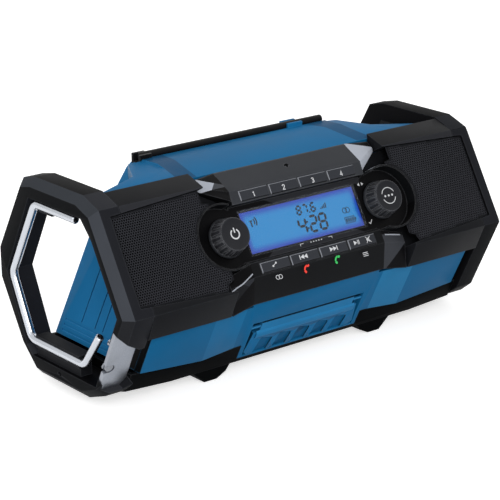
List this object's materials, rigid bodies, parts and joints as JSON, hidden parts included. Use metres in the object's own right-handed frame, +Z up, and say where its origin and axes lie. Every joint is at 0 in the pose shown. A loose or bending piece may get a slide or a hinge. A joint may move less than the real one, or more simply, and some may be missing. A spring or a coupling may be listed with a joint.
{
  "type": "jobsite radio",
  "caption": "Compact jobsite radio: slanted grille front, display between push-turn knobs, guard ring on each end, fold-out hanging hook, port flap and folding antenna.",
  "frame": {"origin": "on the table plane, under the middle of the bounding box", "axes": "+X along the length to the viewer's right when facing the front, +Y to the rear, +Z up; the front faces -Y"},
  "size_m": [0.357, 0.168, 0.1582],
  "materials": {
    "blue_shell": "fine texture",
    "black_shell": "fine texture",
    "guard_black": "textured, slightly worn",
    "grey_fascia": "satin",
    "grille_black": "satin, perforated",
    "knob_black": "satin with a light skirt ring",
    "button_black": "satin with light marks",
    "display_glass": "clear",
    "lcd": "lit blue",
    "foot_rubber": "matte",
    "hook_steel": "bright",
    "plate_steel": "satin",
    "antenna_black": "satin",
    "pivot_black": "satin",
    "flap_blue": "fine texture",
    "inner_black": "matte",
    "shaft_steel": "turned",
    "board_green": "solder mask",
    "contact_brass": "bright",
    "screw_steel": "black oxide"
  },
  "bodies": {
    "body": {"main_housing": "blue_shell", "bottom_cover": "black_shell", "front_frame": "black_shell", "grille_left": "grille_black", "grille_right": "grille_black", "guard_left": "guard_black", "guard_right": "guard_black", "control_fascia": "grey_fascia", "display_window": "display_glass", "lcd_module": "lcd", "microphone": "inner_black", "preset_keymat": "inner_black", "function_keymat": "inner_black", "volume_encoder": "inner_black", "tuning_encoder": "inner_black", "control_board": "board_green", "speaker_left": "shaft_steel", "speaker_right": "shaft_steel", "speaker_cone_left": "inner_black", "speaker_cone_right": "inner_black", "speaker_enclosure_left": "black_shell", "speaker_enclosure_right": "black_shell", "rear_cover": "black_shell", "terminal_block": "inner_black", "battery_contacts": "contact_brass", "main_board": "board_green", "aux_jack": "inner_black", "dc_inlet": "inner_black", "dc_pin": "contact_brass", "hook_plate": "plate_steel", "plate_screw": "plate_steel", "hook_cradle": "hook_steel", "hook_clip": "guard_black", "stop_pin": "hook_steel", "antenna_pivot": "pivot_black", "base_screws": "screw_steel", "cover_screws": "screw_steel", "foot_left": "foot_rubber", "foot_right": "foot_rubber"},
    "volume_plunger": {"volume_plunger": "shaft_steel"},
    "volume_knob": {"volume_knob": "knob_black", "volume_shaft": "shaft_steel"},
    "tuning_plunger": {"tuning_plunger": "shaft_steel"},
    "tuning_knob": {"tuning_knob": "knob_black", "tuning_shaft": "shaft_steel"},
    "preset_button_1": {"preset_button_1": "button_black"},
    "preset_button_2": {"preset_button_2": "button_black"},
    "preset_button_3": {"preset_button_3": "button_black"},
    "preset_button_4": {"preset_button_4": "button_black"},
    "function_button_1": {"function_button_1": "button_black"},
    "function_button_2": {"function_button_2": "button_black"},
    "function_button_3": {"function_button_3": "button_black"},
    "function_button_4": {"function_button_4": "button_black"},
    "hook": {"carry_hook": "hook_steel"},
    "antenna": {"antenna_rod": "antenna_black"},
    "flap": {"port_flap": "flap_blue"}
  },
  "joints": [
    {"name": "volume_push", "type": "slide", "parent": "body", "child": "volume_plunger", "axis": [0, 0.866, -0.5], "range_m": [0, 0.001], "stiffness_N_per_m": 1500, "springref_m": -0.001},
    {"name": "volume_turn", "type": "hinge", "parent": "volume_plunger", "child": "volume_knob", "pos_m": [-0.0727, -0.0636, 0.11513], "axis": [0, -0.866, 0.5], "continuous": true},
    {"name": "tuning_push", "type": "slide", "parent": "body", "child": "tuning_plunger", "axis": [0, 0.866, -0.5], "range_m": [0, 0.001], "stiffness_N_per_m": 1500, "springref_m": -0.001},
    {"name": "tuning_turn", "type": "hinge", "parent": "tuning_plunger", "child": "tuning_knob", "pos_m": [0.0727, -0.0636, 0.11513], "axis": [0, -0.866, 0.5], "continuous": true},
    {"name": "preset_1_press", "type": "slide", "parent": "body", "child": "preset_button_1", "axis": [0, 0.866, -0.5], "range_m": [0, 0.0012], "stiffness_N_per_m": 500, "springref_m": -0.0012},
    {"name": "preset_2_press", "type": "slide", "parent": "body", "child": "preset_button_2", "axis": [0, 0.866, -0.5], "range_m": [0, 0.0012], "stiffness_N_per_m": 500, "springref_m": -0.0012},
    {"name": "preset_3_press", "type": "slide", "parent": "body", "child": "preset_button_3", "axis": [0, 0.866, -0.5], "range_m": [0, 0.0012], "stiffness_N_per_m": 500, "springref_m": -0.0012},
    {"name": "preset_4_press", "type": "slide", "parent": "body", "child": "preset_button_4", "axis": [0, 0.866, -0.5], "range_m": [0, 0.0012], "stiffness_N_per_m": 500, "springref_m": -0.0012},
    {"name": "function_1_press", "type": "slide", "parent": "body", "child": "function_button_1", "axis": [0, 0.866, -0.5], "range_m": [0, 0.0012], "stiffness_N_per_m": 500, "springref_m": -0.0012},
    {"name": "function_2_press", "type": "slide", "parent": "body", "child": "function_button_2", "axis": [0, 0.866, -0.5], "range_m": [0, 0.0012], "stiffness_N_per_m": 500, "springref_m": -0.0012},
    {"name": "function_3_press", "type": "slide", "parent": "body", "child": "function_button_3", "axis": [0, 0.866, -0.5], "range_m": [0, 0.0012], "stiffness_N_per_m": 500, "springref_m": -0.0012},
    {"name": "function_4_press", "type": "slide", "parent": "body", "child": "function_button_4", "axis": [0, 0.866, -0.5], "range_m": [0, 0.0012], "stiffness_N_per_m": 500, "springref_m": -0.0012},
    {"name": "hook_swing", "type": "hinge", "parent": "body", "child": "hook", "pos_m": [-0.1755, 0.01, 0.0315], "axis": [0, -1, 0], "range_deg": [0, 100]},
    {"name": "antenna_swing", "type": "hinge", "parent": "body", "child": "antenna", "pos_m": [-0.084, 0.03, 0.155], "axis": [0, -1, 0], "range_deg": [0, 90]},
    {"name": "flap_swing", "type": "hinge", "parent": "body", "child": "flap", "pos_m": [0, -0.05574, 0.03822], "axis": [-1, 0, 0], "range_deg": [0, 110]}
  ]
}
